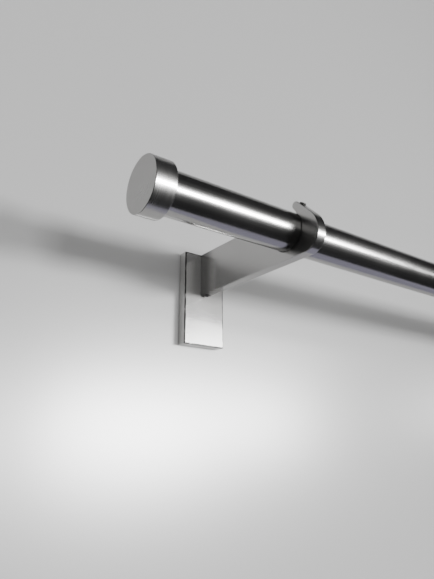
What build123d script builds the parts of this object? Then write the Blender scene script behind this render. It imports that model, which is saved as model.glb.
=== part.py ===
from build123d import *
import os
from math import acos, atan2, cos, degrees, hypot, radians, sin, tan

# Eyelet curtain rod: a steel pole on two flat wall brackets, with a stepped cap on each end.
# All sizes are in millimetres. The origin is the middle of the four wall screw holes, on the wall's
# face. X runs along the pole, +Y goes into the wall and +Z is up.

# Pole
pole_diameter = 30.0
pole_wall = 1.5
pole_length = 1200.0
pole_overhang = 122.0  # from a bracket's middle plane to the pole's end
pole_end_chamfer = 0.3
projection = 120.5  # from the wall to the pole's axis
pole_above_plate_middle = 24.5

# End caps, turned cups that slide over the pole
cap_diameter = 38.5
cap_length = 15.0
cap_end_wall = 3.0
cap_end_gap = 0.2  # between the pole's end and the cap's end wall
cap_fit = 0.08  # radial, between the cap's bore and the pole
cap_edge_chamfer = 0.5
cap_screw_inset = 6.0  # from the cap's open rim to its screw

# Wall plate: a hollow cover over a flat backing plate
cover_width = 41.0
cover_height = 83.0
cover_depth = 9.5
cover_wall = 2.0
cover_edge_chamfer = 0.5
backing_thickness = 3.0
backing_clearance = 0.5  # all round, inside the cover
wall_hole_spacing = 64.0
wall_hole_diameter = 5.2
wall_hole_sink_diameter = 9.2

# Tongue: a flat steel bar on the backing plate, which the arm slides onto
tongue_thickness = 5.0
tongue_height = 16.0
tongue_reach = 18.0  # beyond the cover's face, inside the arm
tongue_below_axis = 7.0  # from the pole's axis down to the tongue's middle
tongue_clearance = 0.1  # to the arm's pocket, on each side
tongue_chamfer = 0.8
window_clearance = 0.5  # to the cover's window, on each side
pocket_end_gap = 1.0
tongue_screw_diameter = 3.0
tongue_screw_head_diameter = 5.6
tongue_screw_length = 10.0
tongue_screw_spacing = 9.0
tongue_screw_socket = 2.0

# Arm: one flat bar whose front end is cut as an open hook
arm_thickness = 8.0
arm_above_axis = 17.0
arm_below_axis = 21.5
arm_edge_chamfer = 0.5
hook_front = 30.5  # from the pole's axis to the hook's foremost face
nose_radius = 14.0  # where the hook's front turns into its underside
front_radius = 21.0  # from the foremost face up to the slope
hook_slope = 45.0  # degrees above level, on the face that carries the pole screw
tip_radius = 3.0
tip_above_axis = 21.0
seat_clearance = 0.2  # radial, between the hook's seat and the pole
mouth_corner_radius = 3.0

# Grub screws with hexagon sockets
thread_clearance = 0.05  # radial, between a screw and its threaded hole
tip_gap = 0.05  # between a screw's tip and what it presses on
socket_depth_share = 0.5  # of the screw's diameter
screw_chamfer_share = 0.12  # of the screw's diameter
pole_screw_diameter = 5.0
pole_screw_socket = 2.5
pole_screw_angle = 127.0  # degrees, about the pole's axis, from +Y up towards the room
pole_screw_stands_out = 1.4
arm_screw_diameter = 4.0
arm_screw_socket = 2.0
arm_screw_inset = 3.5  # from the cover's face
arm_screw_stands_out = 1.0
cap_screw_diameter = 4.0
cap_screw_socket = 2.0
cap_screw_sunk = 0.3

# Worked out from the sizes above
pole_radius = pole_diameter / 2
bracket_spacing = pole_length - 2 * pole_overhang
pole_axis = (-projection, pole_above_plate_middle)
tongue_middle = pole_above_plate_middle - tongue_below_axis
arm_end = projection - cover_depth
seat_radius = pole_radius + seat_clearance
cap_bore_radius = pole_radius + cap_fit
wall_hole_places = [wall_hole_spacing / 2, -wall_hole_spacing / 2]
tongue_screw_places = [tongue_middle + tongue_screw_spacing / 2,
                       tongue_middle - tongue_screw_spacing / 2]


def polar(centre, radius, angle):
    """Point at an angle in degrees on a circle."""
    return (centre[0] + radius * cos(radians(angle)), centre[1] + radius * sin(radians(angle)))


def block(width, height, back, front, z_middle=0.0):
    """Upright plate across the room, from the distance back to the distance front off the wall."""
    plane = Plane(origin=(0, -back, z_middle), x_dir=(1, 0, 0), z_dir=(0, -1, 0))
    return extrude(plane * Rectangle(width, height), amount=front - back)


def turned(points):
    """Solid of revolution about Z, from half its section as (radius, height) points."""
    return revolve(make_face(Plane.XZ * Polyline(*points, close=True)), Axis.Z)


def countersunk(shaft_diameter, head_diameter, length):
    """Right-angled countersunk form on Z, with its head at the origin."""
    shaft = shaft_diameter / 2
    head = head_diameter / 2
    return turned([(0, 0), (head, 0), (shaft, head - shaft), (shaft, length), (0, length)])


def socket(diameter, across_flats):
    """Hexagon socket to cut into a screw, reaching down from the origin."""
    hexagon = RegularPolygon(across_flats / 2, 6, major_radius=False)
    return extrude(hexagon, amount=-diameter * socket_depth_share)


def grub_screw(diameter, length, across_flats):
    """Headless screw on Z, with its tip at the origin and its socket at the far end."""
    radius = diameter / 2
    chamfer_size = diameter * screw_chamfer_share
    body = turned([(0, 0), (radius - 2 * chamfer_size, 0), (radius, 2 * chamfer_size),
                   (radius, length - chamfer_size), (radius - chamfer_size, length), (0, length)])
    return body - Pos(0, 0, length) * socket(diameter, across_flats)


def threaded_hole(diameter, length):
    """Hole for a grub screw, on Z from the origin."""
    return Pos(0, 0, length / 2) * Cylinder(diameter / 2 + thread_clearance, length)


def make_pole():
    ring = Circle(pole_radius) - Circle(pole_radius - pole_wall)
    tube = extrude(Plane.YZ.offset(-pole_length / 2) * ring, amount=pole_length)
    ends = tube.edges().filter_by(GeomType.CIRCLE)
    return Pos(0, *pole_axis) * chamfer(ends, pole_end_chamfer)


# The cap screw points back at the wall, where it is out of sight from the room
cap_screw_plane = Plane(origin=(0, 0, 0), z_dir=(0, 1, 0))
cap_inner_face = pole_length / 2 + cap_end_gap
cap_rim = cap_inner_face + cap_end_wall - cap_length
cap_screw_x = cap_rim + cap_screw_inset


def make_cap():
    """Right-hand cap: a revolved cup with its outer edges broken."""
    radius = cap_diameter / 2
    half = make_face(Polyline(
        (cap_rim, cap_bore_radius), (cap_rim, radius), (cap_rim + cap_length, radius),
        (cap_rim + cap_length, 0), (cap_inner_face, 0), (cap_inner_face, cap_bore_radius),
        close=True))
    outer_corners = half.vertices().group_by(Axis.Y)[-1]
    cup = revolve(chamfer(outer_corners, cap_edge_chamfer), Axis.X)
    hole = cap_screw_plane * threaded_hole(cap_screw_diameter, cap_diameter)
    return Pos(0, *pole_axis) * (cup - Pos(cap_screw_x, 0, 0) * hole)


def make_cap_screw():
    length = cap_diameter / 2 - cap_screw_sunk - pole_radius - tip_gap
    screw = grub_screw(cap_screw_diameter, length, cap_screw_socket)
    placed = cap_screw_plane * (Pos(0, 0, pole_radius + tip_gap) * screw)
    return Pos(cap_screw_x, *pole_axis) * placed


def make_cover():
    """Hollow wall plate: five walls, open to the wall, with a window for the tongue."""
    shell = block(cover_width, cover_height, 0, cover_depth)
    outer_edges = shell.edges() - shell.edges().group_by(Axis.Y)[-1]
    shell = chamfer(outer_edges, cover_edge_chamfer)
    shell -= block(cover_width - 2 * cover_wall, cover_height - 2 * cover_wall,
                   0, cover_depth - cover_wall)
    window = block(tongue_thickness + 2 * window_clearance, tongue_height + 2 * window_clearance,
                   0, cover_depth, tongue_middle)
    return shell - window


def make_backing_plate():
    inset = cover_wall + backing_clearance
    plate = block(cover_width - 2 * inset, cover_height - 2 * inset, 0, backing_thickness)
    wall_hole = countersunk(wall_hole_diameter, wall_hole_sink_diameter, backing_thickness)
    for z in wall_hole_places:
        plate -= Plane(origin=(0, -backing_thickness, z), z_dir=(0, 1, 0)) * wall_hole
    clearance = 2 * thread_clearance
    screw_hole = countersunk(tongue_screw_diameter + clearance,
                             tongue_screw_head_diameter + 2 * clearance, backing_thickness)
    for z in tongue_screw_places:
        plate -= Plane(origin=(0, 0, z), z_dir=(0, -1, 0)) * screw_hole
    return plate


def make_tongue():
    bar = block(tongue_thickness, tongue_height, backing_thickness, cover_depth + tongue_reach,
                tongue_middle)
    bar = chamfer(bar.faces().sort_by(Axis.Y)[0].edges(), tongue_chamfer)
    depth = tongue_screw_length + tongue_screw_diameter / 2
    hole = threaded_hole(tongue_screw_diameter, depth)
    for z in tongue_screw_places:
        bar -= Plane(origin=(0, 0, z), z_dir=(0, -1, 0)) * hole
    return bar


def make_tongue_screw(z):
    """Countersunk screw from behind, with its head sunk just below the wall's face."""
    screw = countersunk(tongue_screw_diameter, tongue_screw_head_diameter, tongue_screw_length)
    drive = Rot(180, 0, 0) * socket(tongue_screw_diameter, tongue_screw_socket)
    return Plane(origin=(0, -thread_clearance, z), z_dir=(0, -1, 0)) * (screw - drive)


# The hook's circles, as seen from the side with the pole's axis at (0, 0) and the wall at the right
nose = (nose_radius - hook_front, nose_radius - arm_below_axis)
front = (front_radius - hook_front, nose[1])
slope_normal = 90 + hook_slope
slope_distance = front_radius + hypot(*front) * cos(
    atan2(front[1], front[0]) - radians(slope_normal))
tip_z = tip_above_axis - tip_radius
tip = ((slope_distance - tip_radius - tip_z * sin(radians(slope_normal)))
       / cos(radians(slope_normal)), tip_z)
# The lip's inner face is the line that touches both the seat and the rounded tip
lip_angle = degrees(atan2(tip[1], tip[0]) + acos((seat_radius + tip_radius) / hypot(*tip)))


def hook_outline():
    """Side outline of the arm: flat bar, rounded front, sloping lip, round seat and sloping mouth."""
    mouth_foot = polar((0, 0), seat_radius, lip_angle - 180)
    mouth_run = (arm_above_axis - mouth_foot[1]) / tan(radians(lip_angle - 90))
    mouth_corner = (mouth_foot[0] + mouth_run, arm_above_axis)
    with BuildSketch(Plane.YZ) as outline:
        with BuildLine():
            Line((arm_end, -arm_below_axis), (nose[0], -arm_below_axis))
            CenterArc(nose, nose_radius, 270, -90)
            CenterArc(front, front_radius, 180, slope_normal - 180)
            Line(polar(front, front_radius, slope_normal), polar(tip, tip_radius, slope_normal))
            CenterArc(tip, tip_radius, slope_normal, lip_angle - 180 - slope_normal)
            Line(polar(tip, tip_radius, lip_angle - 180), polar((0, 0), seat_radius, lip_angle))
            CenterArc((0, 0), seat_radius, lip_angle, 180)
            Polyline(mouth_foot, mouth_corner, (arm_end, arm_above_axis), (arm_end, -arm_below_axis))
        make_face()
        corner = outline.vertices().sort_by_distance((*mouth_corner, 0))[0]
        fillet(corner, mouth_corner_radius)
    return outline.sketch


pole_screw_plane = Plane(
    origin=(0, 0, 0), x_dir=(1, 0, 0),
    z_dir=(0, cos(radians(pole_screw_angle)), sin(radians(pole_screw_angle))))
pole_screw_end = (slope_distance / cos(radians(pole_screw_angle - slope_normal))
                  + pole_screw_stands_out)
arm_screw_plane = Plane(origin=(0, -cover_depth - arm_screw_inset, 0), z_dir=(0, 0, -1))
arm_underside = pole_above_plate_middle - arm_below_axis
tongue_underside = tongue_middle - tongue_height / 2


def make_arm():
    bar = extrude(hook_outline(), amount=arm_thickness / 2, both=True)
    side_edges = bar.edges().filter_by(Plane.YZ) - bar.edges().group_by(Axis.Y)[-1]
    bar = Pos(0, *pole_axis) * chamfer(side_edges, arm_edge_chamfer)
    pocket = block(tongue_thickness + 2 * tongue_clearance, tongue_height + 2 * tongue_clearance,
                   cover_depth, cover_depth + tongue_reach + pocket_end_gap, tongue_middle)
    pole_hole = pole_screw_plane * threaded_hole(pole_screw_diameter, hook_front + tip_above_axis)
    arm_hole = arm_screw_plane * threaded_hole(
        arm_screw_diameter, tongue_below_axis + arm_below_axis)
    return (bar - pocket - Pos(0, *pole_axis) * pole_hole
            - Pos(0, 0, tongue_middle) * arm_hole)


def make_pole_screw():
    length = pole_screw_end - pole_radius - tip_gap
    screw = grub_screw(pole_screw_diameter, length, pole_screw_socket)
    placed = pole_screw_plane * (Pos(0, 0, pole_radius + tip_gap) * screw)
    return Pos(0, *pole_axis) * placed


def make_arm_screw():
    tip_level = tongue_underside - tip_gap
    length = tip_level - arm_underside + arm_screw_stands_out
    screw = arm_screw_plane * grub_screw(arm_screw_diameter, length, arm_screw_socket)
    return Pos(0, 0, tip_level) * screw


pieces = {"pole_tube": make_pole()}
bracket_pieces = {
    "wall_cover": make_cover(),
    "backing_plate": make_backing_plate(),
    "tongue": make_tongue(),
    "tongue_screw_upper": make_tongue_screw(tongue_screw_places[0]),
    "tongue_screw_lower": make_tongue_screw(tongue_screw_places[1]),
    "bracket_arm": make_arm(),
    "pole_screw": make_pole_screw(),
    "arm_screw": make_arm_screw(),
}
cap_pieces = {"end_cap": make_cap(), "cap_screw": make_cap_screw()}
for side, direction in (("left", -1), ("right", 1)):
    for name, piece in bracket_pieces.items():
        pieces[f"{name}_{side}"] = Pos(direction * bracket_spacing / 2, 0, 0) * piece
    for name, piece in cap_pieces.items():
        pieces[f"{name}_{side}"] = piece if direction > 0 else mirror(piece, about=Plane.YZ)

os.makedirs("parts", exist_ok=True)
for name, piece in pieces.items():
    export_step(piece, f"parts/{name}.step")
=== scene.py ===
"""Eyelet curtain rod on two hook brackets, dressed for a soft studio view.

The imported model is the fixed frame. Every steel surface that shows is a smooth mesh worked out
with numpy at the place of its CAD node. The fittings behind the wall covers keep their CAD nodes
and only get finishes.
"""

import math

import bmesh
import bpy
import numpy as np
from bpy.props import FloatProperty, FloatVectorProperty, IntProperty, PointerProperty
from mathutils import Matrix, Vector


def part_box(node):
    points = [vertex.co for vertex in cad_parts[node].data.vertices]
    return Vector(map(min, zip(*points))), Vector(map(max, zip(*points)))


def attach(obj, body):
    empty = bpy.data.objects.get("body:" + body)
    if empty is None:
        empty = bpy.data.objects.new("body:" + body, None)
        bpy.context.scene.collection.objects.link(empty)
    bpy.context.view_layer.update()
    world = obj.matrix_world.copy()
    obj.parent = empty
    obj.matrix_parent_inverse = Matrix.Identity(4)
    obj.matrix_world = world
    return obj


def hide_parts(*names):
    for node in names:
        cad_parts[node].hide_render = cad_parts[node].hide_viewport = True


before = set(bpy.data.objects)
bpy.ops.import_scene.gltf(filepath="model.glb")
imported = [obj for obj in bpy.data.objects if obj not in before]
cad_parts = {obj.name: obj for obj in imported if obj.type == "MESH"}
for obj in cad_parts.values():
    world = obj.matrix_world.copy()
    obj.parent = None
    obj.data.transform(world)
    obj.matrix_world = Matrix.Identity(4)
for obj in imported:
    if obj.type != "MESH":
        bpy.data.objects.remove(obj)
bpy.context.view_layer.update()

bl_info = {
    "name": "Eyelet curtain rod",
    "version": (1, 0, 0),
    "blender": (4, 5, 0),
    "location": "View3D > Sidebar > Curtain Rod",
    "description": "Builds the smooth steel pieces, finishes and studio of an eyelet curtain rod",
    "category": "Add Mesh",
}

# Direction of each side along X
SIDES = {"left": -1.0, "right": 1.0}

# Flats keep their shading up to this distance from a rounded edge
GUARD = 0.00002

# Width of the strip beside an edge in which the edge band fades out
EDGE_FADE = 0.0006

# Bevel round the mouth of a screw hole
HOLE_EDGE = 0.0002

# Gap round the tongue in its pocket, skin over a blind hole and width of a socket's rim
SLIGHT = 0.0001

# Cells of a grid that a screw hole takes up, in each direction
HOLE_CELLS = 8

# Colour of the painted shade and painted shadow line where an arm meets its cover
PAINTED_SHADE = (0.01, 0.01, 0.01)

tube_low, tube_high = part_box("pole_tube")
cap_low, cap_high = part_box("end_cap_right")
cover_low, cover_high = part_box("wall_cover_right")
arm_low, arm_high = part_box("bracket_arm_right")
tongue_low, tongue_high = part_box("tongue_right")

pole_axis_y = (tube_low.y + tube_high.y) / 2
pole_axis_z = (tube_low.z + tube_high.z) / 2
bracket_x = (arm_low.x + arm_high.x) / 2


def metres(title, text, default, least=0.0):
    """Length property, in metres."""
    return FloatProperty(name=title, description=text, default=default, min=least, unit="LENGTH")


def tint(title, text, default):
    """Colour property."""
    return FloatVectorProperty(name=title, description=text, default=default, size=3,
                               min=0.0, max=1.0, subtype="COLOR")


def settings(kind, title, text):
    """Property that holds a group of properties."""
    return PointerProperty(type=kind, name=title, description=text)


class PoleSizes(bpy.types.PropertyGroup):
    """Sizes of the round pole."""
    diameter: metres("Diameter", "Outside diameter of the pole", tube_high.z - tube_low.z, 0.005)
    length: metres(
        "Length", "Length of the pole between its cut ends", tube_high.x - tube_low.x, 0.1)
    wall: metres("Wall", "Thickness of the tube's wall", 0.0015, 0.0005)
    edge: metres("Edge", "Radius on the edges of the cut ends", 0.0003)
    steps: IntProperty(
        name="Steps", description="Number of facets round the pole",
        default=192, min=24)


class CapSizes(bpy.types.PropertyGroup):
    """Sizes of the stepped end caps."""
    diameter: metres("Diameter", "Outside diameter of a cap", cap_high.z - cap_low.z, 0.005)
    length: metres("Length", "Length of a cap along the pole", cap_high.x - cap_low.x, 0.002)
    end_wall: metres("End Wall", "Thickness of the closed end", 0.003, 0.0005)
    bore_clearance: metres(
        "Bore Clearance", "Radial gap between the cap and the pole", 0.00008)
    edge: metres("Edge", "Radius on the outer edges", 0.0005)
    screw_inset: metres("Screw Inset", "Distance from the open rim to the cap screw", 0.006, 0.002)


class CoverSizes(bpy.types.PropertyGroup):
    """Sizes of the hollow wall covers."""
    width: metres("Width", "Width of a cover along the wall", cover_high.x - cover_low.x, 0.01)
    height: metres("Height", "Height of a cover", cover_high.z - cover_low.z, 0.01)
    depth: metres(
        "Depth", "Distance that a cover stands off the wall", cover_high.y - cover_low.y, 0.002)
    wall: metres("Wall", "Thickness of the cover's walls", 0.002, 0.0005)
    edge: metres("Edge", "Radius on the outer edges", 0.0006, 0.0001)
    window_gap: metres("Window Gap", "Gap round the tongue where it passes through", 0.0005)


class ArmSizes(bpy.types.PropertyGroup):
    """Sizes of the hook arms, with heights and reaches measured from the pole's axis."""
    thickness: metres("Thickness", "Thickness of the flat bar", arm_high.x - arm_low.x, 0.002)
    top: metres("Top", "Height of the bar's upper edge above the axis", 0.017)
    underside: metres(
        "Underside", "Depth of the bar's lower edge below the axis", pole_axis_z - arm_low.z)
    front: metres("Front", "Reach of the hook in front of the axis", pole_axis_y - arm_low.y)
    rear: metres("Rear", "Distance from the axis back to the wall cover", arm_high.y - pole_axis_y)
    nose: metres("Nose", "Radius where the hook's front turns into its underside", 0.014)
    front_curve: metres("Front Curve", "Radius from the foremost face up to the slope", 0.021)
    slope: FloatProperty(
        name="Slope", description="Slope of the lip's outer face above level",
        default=math.radians(45.0), subtype="ANGLE")
    tip: metres("Tip", "Radius of the lip's rounded tip", 0.003)
    tip_height: metres(
        "Tip Height", "Height of the lip's tip above the axis", arm_high.z - pole_axis_z)
    seat_gap: metres("Seat Gap", "Radial gap between the seat and the pole", 0.0002)
    mouth_corner: metres("Mouth Corner", "Radius where the mouth meets the upper edge", 0.003)
    edge: metres("Edge", "Radius on the long edges", 0.0005, 0.0001)


class ScrewSizes(bpy.types.PropertyGroup):
    """Sizes and places of the grub screws."""
    pole_screw: metres("Pole Screw", "Thread diameter of the screw in the lip", 0.005)
    pole_screw_angle: FloatProperty(
        name="Pole Screw Angle", description="Direction of that screw about the pole's axis",
        default=math.radians(127.0), subtype="ANGLE")
    pole_screw_stands_out: metres(
        "Pole Screw Stands Out", "Length of that screw above the lip", 0.0014)
    small_screw: metres("Small Screws", "Thread diameter of the arm and cap screws", 0.004)
    arm_screw_inset: metres(
        "Arm Screw Inset", "Distance from the wall cover to the arm screw", 0.0035)
    arm_screw_stands_out: metres(
        "Arm Screw Stands Out", "Length of that screw below the arm", 0.001)
    cap_screw_sunk: metres(
        "Cap Screw Sunk", "Depth of the cap screw below the cap's surface", 0.0003)
    clearance: metres("Clearance", "Gap at a screw's tip and round its thread", 0.00005)


class FinishColours(bpy.types.PropertyGroup):
    """Colours of the finishes."""
    steel: tint("Steel", "Satin steel of the pole, caps, arms and covers", (0.405, 0.402, 0.396))
    zinc: tint("Zinc", "Zinc plating of the fittings behind the covers", (0.60, 0.61, 0.63))
    oxide: tint("Oxide", "Blackened steel of the grub screws", (0.035, 0.034, 0.033))
    dust: tint("Dust", "Fine dust on what faces up", (0.42, 0.40, 0.37))


class StudioSettings(bpy.types.PropertyGroup):
    """Light and backdrop of the studio."""
    wall: tint("Wall", "Paint of the wall behind the rod", (0.46, 0.46, 0.46))
    floor: tint("Floor", "Colour of the plain floor", (0.72, 0.72, 0.71))
    floor_height: metres(
        "Floor Height", "Height of the floor, from the middle of the wall screws", -2.1, -10.0)
    key_power: FloatProperty(
        name="Key Power", description="Power of the wide soft box, in watts",
        default=92.0, min=0.0)
    second_power: FloatProperty(
        name="Second Power", description="Power of the soft box beside the cap, in watts",
        default=31.0, min=0.0)
    ambient: FloatProperty(
        name="Ambient", description="Strength of the even light on matt surfaces",
        default=0.60, min=0.0)


class CurtainRodSettings(bpy.types.PropertyGroup):
    """All settings of the curtain rod."""
    pole: settings(PoleSizes, "Pole", "Sizes of the pole")
    cap: settings(CapSizes, "Caps", "Sizes of the end caps")
    cover: settings(CoverSizes, "Covers", "Sizes of the wall covers")
    arm: settings(ArmSizes, "Arms", "Sizes of the hook arms")
    screws: settings(ScrewSizes, "Screws", "Sizes of the grub screws")
    colours: settings(FinishColours, "Colours", "Colours of the finishes")
    studio: settings(StudioSettings, "Studio", "Light and backdrop")


def unit(vector):
    """The vector divided by its length."""
    vector = np.asarray(vector, float)
    return vector / np.linalg.norm(vector)


def direction(angle):
    """The flat unit vector at an angle."""
    return np.array([math.cos(angle), math.sin(angle)])


def across(vector):
    """A flat vector turned a quarter turn to its left."""
    return np.array([-vector[1], vector[0]])


def rounded_profile(corners, radii, edge_fade, closed=False, steps=5):
    """Line through the corners, with an arc of the given radius in place of each corner.

    An arc of radius r that turns by an angle t starts r * tan(t / 2) before its corner, and its
    points are the centre plus the starting spoke turned by 0 to t. Two more points lie on the
    straight at each end of the arc: one close by, which keeps the flat's shading flat, and one
    where the edge band's fade ends. Returns the points and their edge band, 1 on an arc and 0 on a
    flat.
    """
    corners = np.asarray(corners, float)
    points = []
    edge_band = []
    for i, (corner, radius) in enumerate(zip(corners, radii)):
        if radius == 0.0:
            points.append(corner[None])
            edge_band.append([0.0])
            continue
        ahead = unit(corner - corners[i - 1])
        away = unit(corners[(i + 1) % len(corners)] - corner)
        turn = math.atan2(ahead[0] * away[1] - ahead[1] * away[0], ahead @ away)
        reach = radius * math.tan(abs(turn) / 2)
        spoke = -math.copysign(radius, turn) * across(ahead)
        centre = corner - ahead * reach - spoke
        angles = np.linspace(0.0, turn, steps + 1)[:, None]
        arc = centre + spoke * np.cos(angles) + across(spoke) * np.sin(angles)
        points.append(np.stack([corner - ahead * (reach + edge_fade),
                                corner - ahead * (reach + GUARD)]))
        points.append(arc)
        points.append(np.stack([corner + away * (reach + GUARD),
                                corner + away * (reach + edge_fade)]))
        edge_band.append([0.0, 1.0] + [1.0] * (steps + 1) + [1.0, 0.0])
    points = np.concatenate(points)
    edge_band = np.concatenate(edge_band)
    if closed:
        points = np.concatenate([points, points[:1]])
        edge_band = np.concatenate([edge_band, edge_band[:1]])
    return points, edge_band


def arc_run(centre, radius, start, sweep, steps, hollow=False):
    """Arc as rows of place and outward normal; the normal of a hollow arc points at its centre."""
    angles = start + sweep * np.arange(steps) / steps
    spokes = np.stack([np.cos(angles), np.sin(angles)], -1)
    return np.hstack([np.asarray(centre) + radius * spokes, -spokes if hollow else spokes])


def straight_run(start, way, distances):
    """Straight as rows of place and outward normal, which is on the left of the way it goes."""
    way = np.asarray(way, float)
    places = np.asarray(start) + np.asarray(distances)[:, None] * way
    return np.hstack([places, np.broadcast_to(across(way), places.shape)])


def cross_ways(axis):
    """Two unit vectors square to an axis and to each other."""
    first = unit(np.cross(axis, (0.36, 0.48, 0.8)))
    return first, np.cross(axis, first)


def rounded_rectangle(width, height, radius):
    """Closed loop of a rectangle with rounded corners, the same number of points for any size.

    Each corner is a quarter circle about a point radius inside both sides, and each side is a
    straight between two of them, divided evenly.
    """
    side_steps = 8
    corner_steps = 4
    quarter = np.linspace(0.0, math.pi / 2, corner_steps + 1)
    loop = []
    for k, (sx, sz) in enumerate(((1, 1), (-1, 1), (-1, -1), (1, -1))):
        centre = np.array([sx * (width / 2 - radius), sz * (height / 2 - radius)])
        angles = quarter + k * math.pi / 2
        loop.append(centre + radius * np.stack([np.cos(angles), np.sin(angles)], -1))
    corners = np.stack(loop)
    starts = corners[:, -1]
    ends = np.roll(corners[:, 0], -1, 0)
    share = np.arange(1, side_steps)[None, :, None] / side_steps
    sides = starts[:, None] + (ends - starts)[:, None] * share
    return np.concatenate([corners, sides], 1).reshape(-1, 2)


def grid_faces(rows, columns, gaps):
    """Quads of a grid whose points are numbered row by row, without those inside the gaps."""
    index = np.arange(rows * columns).reshape(rows, columns)
    quads = np.stack([index[:-1, :-1], index[:-1, 1:], index[1:, 1:], index[1:, :-1]], -1)
    keep = np.ones(quads.shape[:2], bool)
    for top, bottom, left, right in gaps:
        keep[top:bottom, left:right] = False
    return quads[keep]


def gap_border(columns, gap):
    """Numbers of the points round a gap in a grid, in order."""
    top, bottom, left, right = gap
    row = np.arange(left, right)
    column = np.arange(top, bottom)
    return np.concatenate([
        top * columns + row,
        column * columns + right,
        bottom * columns + row[::-1] + 1,
        (column[::-1] + 1) * columns + left])


def ring_faces(first, second):
    """Quads between two closed rings of as many points."""
    return np.stack([first, np.roll(first, -1), np.roll(second, -1), second], -1)


class Shell:
    """Points, their edge band and faces of one piece while it is put together."""

    def __init__(self):
        self.points = np.zeros((0, 3))
        self.edge_band = np.zeros(0)
        self.faces = []

    def add_points(self, points, edge_band):
        """Adds points and returns their numbers."""
        points = np.asarray(points, float).reshape(-1, 3)
        first = len(self.points)
        self.points = np.concatenate([self.points, points])
        self.edge_band = np.concatenate([self.edge_band, np.broadcast_to(edge_band, len(points))])
        return np.arange(first, first + len(points))

    def add_faces(self, faces):
        self.faces.extend(np.asarray(faces).tolist())

    def add_grid(self, points, edge_band, gaps=()):
        """Adds a grid of points as quads, and returns the border of each gap."""
        rows, columns = points.shape[:2]
        numbers = self.add_points(points, np.asarray(edge_band).reshape(-1))
        self.add_faces(grid_faces(rows, columns, gaps) + numbers[0])
        return [gap_border(columns, gap) + numbers[0] for gap in gaps]

    def bore(self, border, centre, axis, radius, edge, depth, onto):
        """Blind round hole from a gap's border down the axis.

        Each border point keeps its angle about the axis. The rings lie at the radius plus the
        edge on the surface, then at the radius, an edge further in, and at the depth. The
        function onto moves points along the axis to the surface.
        """
        axis = unit(axis)
        u, v = cross_ways(axis)
        spokes = self.points[border] - centre
        angles = np.arctan2(spokes @ v, spokes @ u)[:, None]
        circle = np.cos(angles) * u + np.sin(angles) * v
        lip = onto(centre + (radius + edge) * circle)
        throat = onto(centre + radius * circle)
        rings = [border]
        for ring, edge_band in ((lip, 1.0), (throat + axis * edge, 1.0), (throat + axis * depth, 0.0)):
            rings.append(self.add_points(ring, edge_band))
        for first, second in zip(rings, rings[1:]):
            self.add_faces(ring_faces(first, second))
        self.faces.append(rings[-1].tolist())

    def piece(self, name, material, crease=35.0):
        """Mesh object of the shell, with its seams merged and its faces turned outwards."""
        mesh = bpy.data.meshes.new(name)
        mesh.from_pydata(self.points, [], self.faces)
        layer = mesh.attributes.new("edge_band", "FLOAT", "POINT")
        layer.data.foreach_set("value", self.edge_band.astype(np.float32))
        shell = bmesh.new()
        shell.from_mesh(mesh)
        bmesh.ops.remove_doubles(shell, verts=shell.verts, dist=0.000001)
        bmesh.ops.recalc_face_normals(shell, faces=shell.faces)
        shell.to_mesh(mesh)
        shell.free()
        mesh.shade_smooth()
        mesh.set_sharp_from_angle(angle=math.radians(crease))
        mesh.materials.append(material)
        piece = bpy.data.objects.new(name, mesh)
        bpy.context.scene.collection.objects.link(piece)
        return piece


def place_piece(piece, body, node):
    """Makes a piece ride on its body and in place of its CAD node."""
    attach(piece, body)
    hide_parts(node)


def turned_about_pole(profile, steps):
    """Grid of a profile of (distance along X, radius) points turned about the pole's axis.

    A point is (x, radius * cos(angle), radius * sin(angle)) from the axis, with the angle from
    +Y up to +Z, and the first and last columns meet at -Y.
    """
    angles = np.linspace(-math.pi, math.pi, steps + 1)
    along = np.broadcast_to(profile[:, :1], (len(profile), steps + 1))
    return np.stack([along,
                     pole_axis_y + profile[:, 1:] * np.cos(angles),
                     pole_axis_z + profile[:, 1:] * np.sin(angles)], -1)


def feed(tree, inputs, values):
    """Gives sockets, named or numbered, their values or links."""
    for key, value in values.items():
        if isinstance(value, bpy.types.NodeSocket):
            tree.links.new(value, inputs[key])
        else:
            inputs[key].default_value = value


def add_node(tree, kind, values, output=0, **fields):
    """Adds a shader node, sets its fields, feeds its inputs and returns one output."""
    node = tree.nodes.new(kind)
    for key, value in fields.items():
        setattr(node, key, value)
    feed(tree, node.inputs, values)
    return node.outputs[output]


def math_node(tree, operation, *values, clamp=False):
    """Result of a Math node."""
    return add_node(tree, "ShaderNodeMath", dict(enumerate(values)),
                    operation=operation, use_clamp=clamp)


def vector_node(tree, operation, *values):
    """Resulting vector of a Vector Math node."""
    return add_node(tree, "ShaderNodeVectorMath", dict(enumerate(values)), operation=operation)


def split_node(tree, vector, part):
    """One of the parts X, Y and Z of a vector."""
    return add_node(tree, "ShaderNodeSeparateXYZ", {0: vector}, part)


def blend_node(tree, factor, first, second):
    """Colour between two colours."""
    first, second = (value if isinstance(value, bpy.types.NodeSocket) else (*value, 1.0)
                     for value in (first, second))
    return add_node(tree, "ShaderNodeMix", {"Factor": factor, 6: first, 7: second}, 2,
                    data_type="RGBA")


def ramp_node(tree, value, low, high, to_low=0.0, to_high=1.0):
    """Value spread from one range to another with soft ends."""
    return add_node(tree, "ShaderNodeMapRange",
                    {"Value": value, "From Min": low, "From Max": high,
                     "To Min": to_low, "To Max": to_high}, interpolation_type="SMOOTHSTEP")


def noise_node(tree, vector, scale, detail=2.0, roughness=0.5, distortion=0.0):
    """Noise between about 0 and 1."""
    return add_node(tree, "ShaderNodeTexNoise",
                    {"Vector": vector, "Scale": scale, "Detail": detail,
                     "Roughness": roughness, "Distortion": distortion})


def bump_node(tree, strength, distance, height, normal=None, invert=False):
    """Normal bent by a height."""
    values = {"Strength": strength, "Distance": distance, "Height": height}
    if normal is not None:
        values["Normal"] = normal
    return add_node(tree, "ShaderNodeBump", values, invert=invert)


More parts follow.
